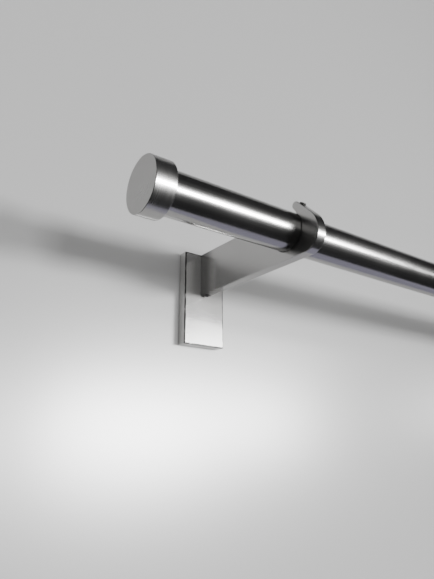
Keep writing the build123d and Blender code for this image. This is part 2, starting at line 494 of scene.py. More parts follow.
def line_noise(tree, vector, coarse_scale, coarse_detail):
    """Height and tone of fine lines, from noise in two widths."""
    fine = noise_node(tree, vector, 1.0, roughness=0.6)
    coarse = noise_node(tree, vector, coarse_scale, coarse_detail)
    wide = math_node(tree, "MULTIPLY", coarse, 0.4)
    return {"Height": math_node(tree, "MULTIPLY_ADD", fine, 0.6, wide),
            "Tone": ramp_node(tree, coarse, 0.3, 0.7)}


def satin_grain(tree, given):
    """Fine lines left by an abrasive belt: noise stretched along the grain."""
    stretched = vector_node(tree, "MULTIPLY", given["Vector"], given["Stretch"])
    return line_noise(tree, stretched, 0.21, 2.0)


def turned_rings(tree, given):
    """Fine lathe lines: noise that changes with the distance along and from the pole's axis."""
    centred = vector_node(tree, "ADD", given["Vector"], (0.0, -pole_axis_y, -pole_axis_z))
    x, y, z = (split_node(tree, centred, part) for part in "XYZ")
    flat = add_node(tree, "ShaderNodeCombineXYZ", {"Y": y, "Z": z})
    radius = add_node(tree, "ShaderNodeVectorMath", {0: flat}, "Value", operation="LENGTH")
    slow_angle = math_node(tree, "MULTIPLY", math_node(tree, "ARCTAN2", z, y), 0.0003)
    place = add_node(tree, "ShaderNodeCombineXYZ", {"X": x, "Y": radius, "Z": slow_angle})
    dense = add_node(tree, "ShaderNodeVectorMath", {0: place, "Scale": given["Density"]},
                     operation="SCALE")
    return line_noise(tree, dense, 0.23, 1.0)


def hairlines(tree, given):
    """Sparse thin scratches: the middle contour of stretched noise, kept only in patches."""
    stretched = vector_node(tree, "MULTIPLY", given["Vector"], given["Stretch"])
    field = noise_node(tree, stretched, 1.0, 1.0)
    distance = math_node(tree, "ABSOLUTE", math_node(tree, "SUBTRACT", field, 0.5))
    line = ramp_node(tree, distance, 0.0, 0.006, 1.0, 0.0)
    patch = ramp_node(tree, noise_node(tree, stretched, 0.35, 1.0), 0.52, 0.66)
    kept = math_node(tree, "MULTIPLY", line, patch)
    return {"Mask": math_node(tree, "MULTIPLY", kept, given["Amount"])}


def handling_marks(tree, given):
    """Faint handling marks: broad noise, bent by itself, in soft steps."""
    scale = math_node(tree, "DIVIDE", 1.0, given["Size"])
    broad = noise_node(tree, given["Vector"], scale, 4.0, roughness=0.55, distortion=0.6)
    return {"Mask": ramp_node(tree, broad, 0.38, 0.68)}


def edge_strips(tree, given):
    """Edge strips: the edge band attribute, broken up by noise. With a bright edge tone they are
    rubbed wear; with the covers' dark edge tone they are a painted dark reflection.
    """
    edge_band_fac = add_node(tree, "ShaderNodeAttribute", {}, "Fac", attribute_name="edge_band")
    patches = ramp_node(tree, noise_node(tree, given["Vector"], 260.0, 4.0, 0.65), 0.3, 0.62)
    broken = math_node(tree, "MULTIPLY", edge_band_fac, patches)
    return {"Mask": math_node(tree, "MULTIPLY", broken, given["Amount"])}


def settled_dust(tree, given):
    """Thin dust that settles on what faces up: the upward part of the normal, times noise."""
    normal = add_node(tree, "ShaderNodeNewGeometry", {}, "Normal")
    facing = ramp_node(tree, split_node(tree, normal, "Z"), 0.35, 1.0)
    cloud = noise_node(tree, given["Vector"], 90.0, 5.0, 0.6)
    specks = noise_node(tree, given["Vector"], 2600.0, roughness=0.7)
    lying = math_node(tree, "MULTIPLY", ramp_node(tree, cloud, 0.3, 0.7),
                      ramp_node(tree, specks, 0.35, 0.75, 0.5, 1.0))
    settled = math_node(tree, "MULTIPLY", facing, lying)
    return {"Mask": math_node(tree, "MULTIPLY", settled, given["Amount"])}


# What makes each effect, and its inputs beside the Vector
EFFECTS = {
    "Satin Grain": (satin_grain, {"Stretch": (40.0, 6000.0, 6000.0)}),
    "Turned Rings": (turned_rings, {"Density": 5000.0}),
    "Hairlines": (hairlines, {"Stretch": (60.0, 420.0, 420.0), "Amount": 0.4}),
    "Handling Marks": (handling_marks, {"Size": 0.05}),
    "Edge Strips": (edge_strips, {"Amount": 0.6}),
    "Settled Dust": (settled_dust, {"Amount": 0.1}),
}


def effect_group(name):
    """Node group of an effect, with its inputs and outputs."""
    make, defaults = EFFECTS[name]
    tree = bpy.data.node_groups.new(name, "ShaderNodeTree")
    for title, default in {"Vector": (0.0, 0.0, 0.0), **defaults}.items():
        kind = "NodeSocketVector" if isinstance(default, tuple) else "NodeSocketFloat"
        socket = tree.interface.new_socket(name=title, in_out="INPUT", socket_type=kind)
        socket.default_value = default
    results = make(tree, tree.nodes.new("NodeGroupInput").outputs)
    for title in results:
        tree.interface.new_socket(name=title, in_out="OUTPUT", socket_type="NodeSocketFloat")
    feed(tree, tree.nodes.new("NodeGroupOutput").inputs, results)
    return tree


def place_effect(tree, name, vector, **values):
    """Outputs of a shared effect in a material; its group is made on first use."""
    node = tree.nodes.new("ShaderNodeGroup")
    node.node_tree = bpy.data.node_groups.get(name) or effect_group(name)
    feed(tree, node.inputs, {"Vector": vector, **values})
    return node.outputs


def new_material(name):
    """Material, its tree, its Principled shader and the Object coordinates."""
    material = bpy.data.materials.new(name)
    material.use_nodes = True
    tree = material.node_tree
    shader = tree.nodes["Principled BSDF"]
    place = add_node(tree, "ShaderNodeTexCoord", {}, "Object")
    return material, tree, shader, place


def satin_steel(name, colours, roughness, stretch=None, shade=1.0, metallic=1.0, seat=None,
                edge_tone=1.12, edge_amount=0.5, smudge_size=0.05, smudge=1.0):
    """Satin steel: grain or lathe lines, hairlines, handling marks, edge strips, dust and painted
    shade.
    An edge tone above 1 makes the edge strips rubbed, bright metal; one below 1 paints them dark, a
    painted reflection.

    The grain is stretched, and without a stretch there are lathe lines. The shade multiplies the
    colour; above 1 it is painted light, a lighter copy of the same steel. A seat is the wall side's
    y, from which painted shade darkens the corner and a painted shadow line marks the joint.
    """
    material, tree, shader, place = new_material(name)
    if stretch:
        lines = place_effect(tree, "Satin Grain", place, Stretch=stretch)
        scratch_stretch = tuple(60.0 if s < 1000.0 else 420.0 for s in stretch)
    else:
        lines = place_effect(tree, "Turned Rings", place)
        scratch_stretch = (420.0, 160.0, 160.0)
    scratches = place_effect(tree, "Hairlines", place, Stretch=scratch_stretch)["Mask"]
    smudges = place_effect(tree, "Handling Marks", place, Size=smudge_size)["Mask"]
    edge_mask = place_effect(tree, "Edge Strips", place, Amount=edge_amount)["Mask"]
    dusty = place_effect(tree, "Settled Dust", place, Amount=0.1)["Mask"]

    # rim is the edge strips' colour; an edge tone below 1 makes it a painted dark reflection
    darker, bright, rim = (tuple(min(1.0, c * shade * tone) for c in colours.steel)
                           for tone in (0.97, 1.0, edge_tone))
    toned = blend_node(tree, lines["Tone"], darker, bright)
    coated = blend_node(tree, dusty, blend_node(tree, edge_mask, toned, rim), colours.dust)
    # Painted shade: the arm darkens over its last 22 mm before the seat, most in the last 7 mm, and
    # a painted shadow line lies in the last 1.2 mm at the joint
    if seat is not None:
        along = split_node(tree, place, "Y")
        corner = ramp_node(tree, along, seat - 0.022, seat - 0.007, 0.0, 0.6)
        line = ramp_node(tree, along, seat - 0.0012, seat - 0.0003, 0.0, 0.8)
        painted_shade = math_node(tree, "MAXIMUM", corner, line)
        coated = blend_node(tree, painted_shade, coated, PAINTED_SHADE)

    level = ramp_node(tree, lines["Tone"], 0.0, 1.0, roughness - 0.012, roughness + 0.012)
    marks = ramp_node(tree, smudges, 0.0, 1.0, -0.01 * smudge, 0.022 * smudge)
    level = math_node(tree, "ADD", level, marks)
    level = math_node(tree, "SUBTRACT", level, math_node(tree, "MULTIPLY", edge_mask, 0.05))
    level = math_node(tree, "ADD", level, math_node(tree, "MULTIPLY", dusty, 0.5), clamp=True)
    grain = bump_node(tree, 1.0, 0.0000012, lines["Height"])
    feed(tree, shader.inputs, {
        "Base Color": coated,
        "Roughness": level,
        "Metallic": math_node(tree, "SUBTRACT", metallic, dusty, clamp=True),
        "Specular Tint": (0.7, 0.7, 0.7, 1.0),
        "Normal": bump_node(tree, 1.0, 0.00001, scratches, grain, invert=True),
    })
    return material


def blackened_steel(colours):
    """Oil-blackened screw steel, worn to bright metal on thread crests and edges."""
    material, tree, shader, place = new_material("Blackened screw steel")
    edge_mask = place_effect(tree, "Edge Strips", place, Amount=0.55)["Mask"]
    mottle = noise_node(tree, place, 1800.0, 3.0, 0.6)
    oxide = blend_node(tree, mottle, colours.oxide, tuple(c * 1.9 for c in colours.oxide))
    feed(tree, shader.inputs, {
        "Base Color": blend_node(tree, edge_mask, oxide, colours.steel),
        "Roughness": ramp_node(tree, mottle, 0.3, 0.7, 0.34, 0.48),
        "Metallic": ramp_node(tree, edge_mask, 0.0, 1.0, 0.75, 1.0),
        "Normal": bump_node(tree, 0.6, 0.00001, mottle),
    })
    return material


def zinc_plate(colours):
    """Bright zinc plating: a faint spangle, cloudy roughness and handling marks."""
    material, tree, shader, place = new_material("Zinc plating")
    spangle = add_node(tree, "ShaderNodeTexVoronoi", {"Vector": place, "Scale": 420.0},
                       feature="SMOOTH_F1")
    smudges = place_effect(tree, "Handling Marks", place, Size=0.02)["Mask"]
    dusty = place_effect(tree, "Settled Dust", place, Amount=0.15)["Mask"]
    cool = tuple(c * f for c, f in zip(colours.zinc, (0.9, 0.93, 1.0)))
    toned = blend_node(tree, ramp_node(tree, spangle, 0.1, 0.8), colours.zinc, cool)
    feed(tree, shader.inputs, {
        "Base Color": blend_node(tree, dusty, toned, colours.dust),
        "Roughness": ramp_node(tree, smudges, 0.0, 1.0, 0.27, 0.42),
        "Metallic": math_node(tree, "SUBTRACT", 1.0, dusty, clamp=True),
        "Normal": bump_node(tree, 0.5, 0.00001, spangle),
    })
    return material


def build_pole(sizes, material):
    """Pole: a ring section of the tube's two radii, rounded at its four corners and turned."""
    half = sizes.length / 2
    outer = sizes.diameter / 2
    inner = outer - sizes.wall
    corners = [(-half, inner), (-half, outer), (half, outer), (half, inner)]
    profile, edge_band = rounded_profile(corners, [sizes.edge] * 4, edge_fade=0.0005, closed=True,
                                    steps=3)
    shell = Shell()
    grid = turned_about_pole(profile, sizes.steps)
    shell.add_grid(grid, np.repeat(edge_band, sizes.steps + 1))
    return shell.piece("pole", material)


def build_cap(sizes, pole, screws, side, material):
    """End cap: a cup's half section turned about the pole's axis, bored for its screw.

    The section runs from the middle of the closed end, out over its rounded edge, along the
    outside to the open rim, and back in along the bore. The screw hole faces the wall.
    """
    outer = sizes.diameter / 2
    rim_edge = 0.00015
    bore = pole.diameter / 2 + sizes.bore_clearance
    end = cap_high.x
    rim = end - sizes.length
    inside = end - sizes.end_wall
    screw_x = rim + sizes.screw_inset
    corners = [(end, 0.0), (end, outer), (rim, outer), (rim, bore), (inside, bore), (inside, 0.0)]
    radii = [0.0, sizes.edge, sizes.edge, rim_edge, 0.0, 0.0]
    profile, edge_band = rounded_profile(corners, radii, EDGE_FADE)
    hole = screws.small_screw / 2 + screws.clearance
    hole_margin = 0.0005
    reach = hole + hole_margin
    side_end = int(np.argmax((profile[:, 0] < end - 0.002) & (profile[:, 1] > outer * 0.99)))
    stations = np.linspace(screw_x + reach, screw_x - reach, HOLE_CELLS + 1)
    block = np.stack([stations, np.full_like(stations, outer)], -1)
    profile = np.insert(profile, side_end, block, 0)
    edge_band = np.insert(edge_band, side_end, np.zeros(len(block)))

    profile[:, 0] *= SIDES[side]
    middle = pole.steps // 2
    shell = Shell()
    grid = turned_about_pole(profile, pole.steps)
    gap = (side_end, side_end + HOLE_CELLS, middle - HOLE_CELLS // 2, middle + HOLE_CELLS // 2)
    border = shell.add_grid(grid, np.repeat(edge_band, pole.steps + 1), [gap])[0]

    def onto_side(points):
        across_axis = points[:, 2] - pole_axis_z
        points = points.copy()
        points[:, 1] = pole_axis_y + np.sqrt(outer ** 2 - across_axis ** 2)
        return points

    shell.bore(border, np.array([SIDES[side] * screw_x, pole_axis_y, pole_axis_z]), (0, -1, 0),
               hole, HOLE_EDGE, outer - bore - SLIGHT, onto_side)
    return shell.piece("cap_" + side, material)


def build_cover(sizes, side, material):
    """Wall cover: rounded rectangles in step from its inner rim, round the outside, through the
    window for the tongue and back along the inside, joined ring to ring."""
    edge = sizes.edge
    window_width = tongue_high.x - tongue_low.x + 2 * sizes.window_gap
    window_height = tongue_high.z - tongue_low.z + 2 * sizes.window_gap
    window_z = (tongue_low.z + tongue_high.z) / 2
    inner_width = sizes.width - 2 * sizes.wall
    inner_height = sizes.height - 2 * sizes.wall
    inner_depth = sizes.depth - sizes.wall
    inner_corner = 0.0003
    window_corner = 0.0002
    face = sizes.depth

    def outside(inset, radius, off_wall, edge_band):
        return (sizes.width - 2 * inset, sizes.height - 2 * inset, radius, off_wall, 0.0, edge_band)

    # Edge band 1 marks the rounded front edge, which the covers' material paints dark as a painted
    # reflection
    rings = [(inner_width, inner_height, inner_corner, 0.0, 0.0, 0.0),
             outside(0.0, edge, 0.0, 0.0),
             outside(0.0, edge, face - edge - EDGE_FADE, 0.0),
             outside(0.0, edge, face - edge - GUARD, 1.0)]
    for angle in np.linspace(0.0, math.pi / 2, 6):
        inset = edge * (1 - math.cos(angle))
        rings.append(outside(inset, max(edge - inset, GUARD),
                             face - edge * (1 - math.sin(angle)), 1.0))
    rings += [outside(edge + GUARD, GUARD, face, 1.0),
              outside(edge + EDGE_FADE, GUARD, face, 0.0),
              (window_width, window_height, window_corner, face, window_z, 0.0),
              (window_width, window_height, window_corner, inner_depth, window_z, 0.0),
              (inner_width, inner_height, inner_corner, inner_depth, 0.0, 0.0)]
    x_middle = SIDES[side] * bracket_x
    shell = Shell()
    numbers = []
    for width, height, radius, off_wall, z_middle, edge_band in rings:
        loop = rounded_rectangle(width, height, radius)
        points = np.stack([x_middle + loop[:, 0], np.full(len(loop), -off_wall),
                           z_middle + loop[:, 1]], -1)
        numbers.append(shell.add_points(points, edge_band))
    for first, second in zip(numbers, numbers[1:] + numbers[:1]):
        shell.add_faces(ring_faces(first, second))
    return shell.piece("cover_" + side, material)


class Hook:
    """Side outline of an arm, with the pole's axis at (0, 0), the wall on the right and Z up.

    The nose, front, tip and seat are circles. The nose meets the front where both point straight
    ahead, and each straight touches the circles at its ends: the slope touches the front and the
    tip, the lip's inside touches the tip and the seat, and the mouth leaves the seat half a turn
    further on.
    """

    def __init__(self, sizes, pole, screws):
        self.seat = pole.diameter / 2 + sizes.seat_gap
        normal = math.pi / 2 + sizes.slope
        outward = direction(normal)
        upward = np.array([outward[1], -outward[0]])
        nose = np.array([sizes.nose - sizes.front, sizes.nose - sizes.underside])
        front = np.array([sizes.front_curve - sizes.front, nose[1]])
        self.slope_distance = sizes.front_curve + float(front @ outward)
        tip_z = sizes.tip_height - sizes.tip
        tip_y = (self.slope_distance - sizes.tip - tip_z * outward[1]) / outward[0]
        tip = np.array([tip_y, tip_z])
        lip = math.atan2(tip_z, tip_y) + math.acos((self.seat + sizes.tip) / math.hypot(*tip))
        mouth = lip - math.pi / 2
        mouth_way = direction(mouth)
        foot = -self.seat * direction(lip)
        mouth_length = (sizes.top - foot[1]) / mouth_way[1]
        corner = foot + mouth_way * mouth_length
        cut_back = sizes.mouth_corner * math.tan(mouth / 2)
        corner_centre = corner - mouth_way * cut_back - sizes.mouth_corner * across(mouth_way)

        arm_hole_margin = 0.0008
        pole_hole_margin = 0.0005
        tip_margin = 0.00005
        past_arm_hole = 0.02
        self.arm_screw_y = sizes.rear - screws.arm_screw_inset
        reach = screws.small_screw / 2 + arm_hole_margin
        under_block = sizes.rear - np.linspace(self.arm_screw_y + reach,
                                               self.arm_screw_y - reach, HOLE_CELLS + 1)
        under_rest = np.linspace(past_arm_hole, sizes.rear - nose[0], 8)[:-1]
        underside = straight_run((sizes.rear, -sizes.underside), (-1.0, 0.0),
                                 np.concatenate([[0.0], under_block, under_rest]))
        slope_start = front + sizes.front_curve * outward
        slope_length = float((tip - front) @ upward)
        lean = normal - screws.pole_screw_angle
        screw_at = self.slope_distance * math.tan(lean) - float(slope_start @ upward)
        slope_reach = min(screws.pole_screw / 2 + pole_hole_margin,
                          slope_length - screw_at - tip_margin)
        slope_block = np.linspace(screw_at - slope_reach, screw_at + slope_reach, HOLE_CELLS + 1)
        slope_rest = np.linspace(0.0, slope_block[0], 5)[:-1]
        slope = straight_run(slope_start, upward, np.concatenate([slope_rest, slope_block]))
        lip_start = tip - sizes.tip * direction(lip)
        lip_length = math.sqrt(float(tip @ tip) - (self.seat + sizes.tip) ** 2)
        runs = [
            underside,
            arc_run(nose, sizes.nose, 1.5 * math.pi, -math.pi / 2, 30),
            arc_run(front, sizes.front_curve, math.pi, normal - math.pi, 24),
            slope,
            arc_run(tip, sizes.tip, normal, lip - math.pi - normal, 32),
            straight_run(lip_start, -mouth_way, np.array([0.0, 0.5]) * lip_length),
            arc_run((0.0, 0.0), self.seat, lip, math.pi, 90, hollow=True),
            straight_run(foot, mouth_way, np.linspace(0.0, mouth_length - cut_back, 5)[:-1]),
            arc_run(corner_centre, sizes.mouth_corner, mouth + math.pi / 2, -mouth, 12),
            straight_run((corner[0] + cut_back, sizes.top), (1.0, 0.0),
                         np.linspace(0.0, sizes.rear - corner[0] - cut_back, 6)),
        ]
        rows = np.concatenate(runs)
        self.places = rows[:, :2]
        self.normals = rows[:, 2:]
        self.under_rows = (1, 1 + HOLE_CELLS)
        slope_row = sum(len(run) for run in runs[:3]) + len(slope_rest)
        self.slope_rows = (slope_row, slope_row + HOLE_CELLS)
        self.outward = outward
        self.screw_way = direction(screws.pole_screw_angle)
        self.screw_face = self.slope_distance / math.cos(lean)


def build_arm(sizes, hook, screws, side, material):
    """Hook arm: the side outline carried across the bar's thickness.

    A point is the outline's place, moved inwards along its normal by the section's inset, at
    the section's distance from the middle. The section is flat with a quarter circle at each
    edge, and its last points run a little way down the bar's sides.
    """
    half = sizes.thickness / 2
    edge = sizes.edge
    quarter = np.linspace(0.0, math.pi / 2, 5)
    widest_flat = 0.0032
    edge_margin = 0.0002
    flat_reach = min(widest_flat, half - edge - edge_margin)
    outer_part = [(half, edge + EDGE_FADE, 0.0), (half, edge + GUARD, 1.0)]
    outer_part += [(half - edge + edge * math.cos(a), edge - edge * math.sin(a), 1.0)
                   for a in quarter]
    outer_part += [(half - edge - GUARD, 0.0, 1.0)]
    flat_part = [(x, 0.0, 0.0) for x in np.linspace(-flat_reach, flat_reach, HOLE_CELLS + 1)]
    section = np.array([(-x, inset, edge_band) for x, inset, edge_band in outer_part]
                       + flat_part + outer_part[::-1])
    columns = (len(outer_part), len(outer_part) + HOLE_CELLS)

    x_middle = SIDES[side] * bracket_x
    moved = hook.places[:, None] - hook.normals[:, None] * section[None, :, 1:2]
    grid = np.empty((len(hook.places), len(section), 3))
    grid[..., 0] = x_middle + section[:, 0]
    grid[..., 1] = pole_axis_y + moved[..., 0]
    grid[..., 2] = pole_axis_z + moved[..., 1]
    edge_band = np.broadcast_to(section[:, 2], grid.shape[:2])
    shell = Shell()
    under_border, slope_border = shell.add_grid(
        grid, edge_band, [(*hook.under_rows, *columns), (*hook.slope_rows, *columns)])

    rows, width = grid.shape[:2]
    numbers = np.arange(rows * width).reshape(rows, width)
    shell.faces.append(numbers[:, 0].tolist())
    shell.faces.append(numbers[::-1, -1].tolist())

    # Rear end: from the section's outline in to the pocket, down its walls and across its floor
    outline = np.concatenate([numbers[0], numbers[-1][::-1]])
    pocket_x = (tongue_high.x - tongue_low.x) / 2 + SLIGHT
    pocket_z = (tongue_high.z - tongue_low.z) / 2 + SLIGHT
    pocket_middle = (tongue_high.z + tongue_low.z) / 2
    from_middle = shell.points[outline] - (x_middle, 0.0, pocket_middle)
    shrink = np.maximum(abs(from_middle[:, 0]) / pocket_x, abs(from_middle[:, 2]) / pocket_z)
    mouth = from_middle / shrink[:, None] + (x_middle, 0.0, pocket_middle)
    mouth[:, 1] = pole_axis_y + sizes.rear
    beyond_tongue = 0.001
    floor = mouth.copy()
    floor[:, 1] = tongue_low.y - beyond_tongue
    mouth_numbers = shell.add_points(mouth, 0.0)
    floor_numbers = shell.add_points(floor, 0.0)
    shell.add_faces(ring_faces(outline, mouth_numbers))
    shell.add_faces(ring_faces(mouth_numbers, floor_numbers))
    shell.faces.append(floor_numbers.tolist())

    def onto_underside(points):
        points = points.copy()
        points[:, 2] = pole_axis_z - sizes.underside
        return points

    def onto_slope(points):
        height = ((points[:, 1:] - (pole_axis_y, pole_axis_z)) @ hook.outward
                  - hook.slope_distance)
        shift = height / (hook.screw_way @ hook.outward)
        points = points.copy()
        points[:, 1:] -= shift[:, None] * hook.screw_way
        return points

    under_centre = np.array([x_middle, pole_axis_y + hook.arm_screw_y,
                             pole_axis_z - sizes.underside])
    shell.bore(under_border, under_centre, (0, 0, 1), screws.small_screw / 2 + screws.clearance,
               HOLE_EDGE, pocket_middle - pocket_z - under_centre[2] - SLIGHT, onto_underside)
    slope_centre = np.array([x_middle, *(np.array([pole_axis_y, pole_axis_z])
                                         + hook.screw_way * hook.screw_face)])
    shell.bore(slope_border, slope_centre, (0, *-hook.screw_way),
               screws.pole_screw / 2 + screws.clearance, HOLE_EDGE,
               hook.screw_face - hook.seat - SLIGHT, onto_slope)
    return shell.piece("arm_" + side, material)


def build_screw(name, tip, way, length, thread, material):
    """Grub screw: a round, threaded surface closed by a hexagon socket.

    At an angle a and a height z the thread's radius is the outer radius less the thread's depth
    times a triangle wave of z / pitch - a / turn, held inside a cone at each end. The socket's
    radius is half its width over the cosine of the angle from the nearest flat's middle.
    """
    diameter, pitch, socket = thread
    steps = 48
    levels_per_turn = 9
    radius = diameter / 2
    depth = 0.6 * pitch
    bevel = 0.12 * diameter
    angles = np.linspace(0.0, 2 * math.pi, steps + 1)
    count = max(12, int(length / pitch * levels_per_turn))
    heights = np.linspace(0.0, length, count)[:, None]
    wave = abs(((heights / pitch - angles / (2 * math.pi)) % 1.0) * 2 - 1)
    turns = radius - depth * np.clip(wave * 1.25 - 0.125, 0.0, 1.0)
    envelope = np.minimum(radius - 2 * bevel + heights, radius - bevel + (length - heights))
    threaded = np.minimum(turns, envelope)
    thread_wear = np.where(turns > radius - 0.1 * depth, 1.0, 0.0)
    thread_wear = np.where(heights > length - bevel, 1.0, thread_wear)
    from_flat = (angles + math.pi / 6) % (math.pi / 3) - math.pi / 6
    hexagon = socket / 2 / np.cos(from_flat)
    socket_floor = length - diameter / 2
    inner = [(0.6 * (radius - bevel) + 0.4 * (hexagon + SLIGHT), length, 0.0),
             (hexagon + SLIGHT, length, 1.0), (hexagon, length - SLIGHT, 1.0),
             (hexagon, socket_floor, 0.0), (hexagon * 0.0, socket_floor - socket * 0.25, 0.0)]
    radii = np.vstack([np.zeros((1, steps + 1)), threaded] + [row[0] for row in inner])
    levels = np.vstack([np.zeros((1, 1)), heights] + [np.full((1, 1), row[1]) for row in inner])
    edge_band = np.vstack([np.zeros((1, steps + 1)), thread_wear]
                     + [np.full((1, steps + 1), row[2]) for row in inner])
    way = unit(way)
    u, v = cross_ways(way)
    grid = (np.asarray(tip) + levels[..., None] * way
            + (radii * np.cos(angles))[..., None] * u + (radii * np.sin(angles))[..., None] * v)
    shell = Shell()
    shell.add_grid(grid, edge_band)
    return shell.piece(name, material, crease=40.0)


def show_front(tree, surface):
    """Shows a surface from its front, and nothing from behind."""
    clear = add_node(tree, "ShaderNodeBsdfTransparent", {})
    behind = add_node(tree, "ShaderNodeNewGeometry", {}, "Backfacing")
    either = add_node(tree, "ShaderNodeMixShader", {0: behind, 1: surface, 2: clear})
    tree.links.new(either, tree.nodes["Material Output"].inputs["Surface"])


def one_sided_paint(name, colour, roughness, bump_scale, bump_distance):
    """Matt paint that is seen only from the front, with a faint orange-peel texture."""
    material, tree, shader, place = new_material(name)
    mottle = noise_node(tree, place, 3.0, 3.0)
    peel = noise_node(tree, place, bump_scale)
    feed(tree, shader.inputs, {
        "Base Color": blend_node(tree, mottle, tuple(c * 0.985 for c in colour), colour),
        "Roughness": roughness,
        "Specular IOR Level": 0.9,
        "Normal": bump_node(tree, 0.25, bump_distance, peel),
    })
    show_front(tree, shader.outputs["BSDF"])
    return material


def glow_card(name, colour, strengths):
    """Card that shines only from its front, with one strength at x = 0 and one a metre right."""
    material, tree, shader, place = new_material(name)
    tree.nodes.remove(shader)
    strength = ramp_node(tree, split_node(tree, place, "X"), 0.0, 1.0, *strengths)
    show_front(tree, add_node(tree, "ShaderNodeEmission",
                              {"Color": (*colour, 1.0), "Strength": strength}))
    return material


def flat_sheet(name, first, second, place, material, holes=()):
    """Flat sheet from its grid lines along two sides, without the cells named as holes."""
    grid = np.array([[place(a, b) for a in first] for b in second], float)
    mesh = bpy.data.meshes.new(name)
    gaps = [(row, row + 1, column, column + 1) for row, column in holes]
    faces = grid_faces(len(second), len(first), gaps)
    mesh.from_pydata(grid.reshape(-1, 3), [], faces.tolist())
    mesh.materials.append(material)
    sheet = bpy.data.objects.new(name, mesh)
    bpy.context.scene.collection.objects.link(sheet)
    return sheet


def soft_box(name, place, aim, width, height, power, on_matt):
    """Rectangular area light that points at a place, and may leave matt surfaces unlit."""
    light = bpy.data.lights.new(name, "AREA")
    light.shape = "RECTANGLE"
    light.size = width
    light.size_y = height
    light.energy = power
    lamp = bpy.data.objects.new(name, light)
    lamp.location = place
    lamp.rotation_euler = (Vector(aim) - Vector(place)).to_track_quat("-Z", "Y").to_euler()
    lamp.visible_camera = False
    lamp.visible_diffuse = on_matt
    bpy.context.scene.collection.objects.link(lamp)


def build_world(ambient):
    """Pale backdrop for the camera, an even light on matt surfaces and a dark room in gloss."""
    world = bpy.data.worlds.new("Studio world")
    bpy.context.scene.world = world
    world.use_nodes = True
    tree = world.node_tree
    tree.nodes.clear()
    pale, soft, dark = (
        add_node(tree, "ShaderNodeBackground", {"Color": (*colour, 1.0), "Strength": strength})
        for colour, strength in (((0.62, 0.62, 0.62), 1.0), ((1.0, 1.0, 1.0), ambient),
                                 ((0.03, 0.03, 0.031), 1.0)))
    path = tree.nodes.new("ShaderNodeLightPath").outputs
    unseen = add_node(tree, "ShaderNodeMixShader", {0: path["Is Diffuse Ray"], 1: dark, 2: soft})
    either = add_node(tree, "ShaderNodeMixShader", {0: path["Is Camera Ray"], 1: unseen, 2: pale})
    output = tree.nodes.new("ShaderNodeOutputWorld")
    tree.links.new(either, output.inputs["Surface"])


def build_camera():
    """Camera at the reference's place: below the rod near its left end, looking up and along it."""
    yaw = 0.6341452
    pitch = 0.30962596
    roll = -0.00234862
    focal_pixels = 527.84
    picture_height = 579.0
    lens = bpy.data.cameras.new("Camera")
    lens.sensor_width = 36.0
    lens.lens = lens.sensor_width * focal_pixels / picture_height
    lens.clip_start = 0.01
    lens.clip_end = 100.0
    camera = bpy.data.objects.new("Camera", lens)
    camera.matrix_world = (Matrix.Translation((-0.73488, -0.37740, -0.13394))
                           @ Matrix.Rotation(-yaw, 4, "Z")
                           @ Matrix.Rotation(math.pi / 2 + pitch, 4, "X")
                           @ Matrix.Rotation(roll, 4, "Z"))
    bpy.context.scene.collection.objects.link(camera)
    bpy.context.scene.camera = camera


class CURTAIN_ROD_OT_pole(bpy.types.Operator):
    """Build the smooth round pole"""
    bl_idname = "curtain_rod.pole"
    bl_label = "Pole"

    def execute(self, context):
        rod = context.scene.curtain_rod
        steel = satin_steel("Pole satin steel", rod.colours, 0.20,
                            stretch=(45.0, 6000.0, 6000.0), smudge_size=0.09)
        piece = build_pole(rod.pole, steel)
        place_piece(piece, "rod", "pole_tube")
        return {"FINISHED"}


class CURTAIN_ROD_OT_caps(bpy.types.Operator):
    """Build the turned end caps"""
    bl_idname = "curtain_rod.caps"
    bl_label = "End Caps"

    def execute(self, context):
        rod = context.scene.curtain_rod
        # Shade 1.08 is painted light: the caps' steel is a lighter copy of the pole's
        steel = satin_steel("Cap turned steel", rod.colours, 0.24, shade=1.08)
        for side in SIDES:
            piece = build_cap(rod.cap, rod.pole, rod.screws, side, steel)
            place_piece(piece, "cap_" + side, "end_cap_" + side)
        return {"FINISHED"}


class CURTAIN_ROD_OT_covers(bpy.types.Operator):
    """Build the hollow wall covers"""
    bl_idname = "curtain_rod.covers"
    bl_label = "Wall Covers"

    def execute(self, context):
        rod = context.scene.curtain_rod
        # Edge tone 0.1 paints the edge strips dark, a painted reflection of the dark room beside
        # the covers. Shade 1.5 is painted light: the covers' steel is a lighter copy of the pole's.
        steel = satin_steel("Cover satin steel", rod.colours, 0.17,
                            stretch=(6000.0, 6000.0, 45.0), shade=1.5, metallic=0.83,
                            edge_tone=0.1, edge_amount=2.2, smudge=0.35)
        for side in SIDES:
            piece = build_cover(rod.cover, side, steel)
            place_piece(piece, "rod", "wall_cover_" + side)
        return {"FINISHED"}


class CURTAIN_ROD_OT_arms(bpy.types.Operator):
    """Build the arms with their open hooks"""
    bl_idname = "curtain_rod.arms"
    bl_label = "Hook Arms"

    def execute(self, context):
        rod = context.scene.curtain_rod
        hook = Hook(rod.arm, rod.pole, rod.screws)
        # Shade 1.08 is painted light: the arms' steel is a lighter copy of the pole's; from the
        # seat at the cover, painted shade darkens the arm
        steel = satin_steel("Arm satin steel", rod.colours, 0.22,
                            stretch=(6000.0, 45.0, 6000.0), shade=1.08, seat=cover_low.y)
        for side in SIDES:
            piece = build_arm(rod.arm, hook, rod.screws, side, steel)
            place_piece(piece, "rod", "bracket_arm_" + side)
        return {"FINISHED"}


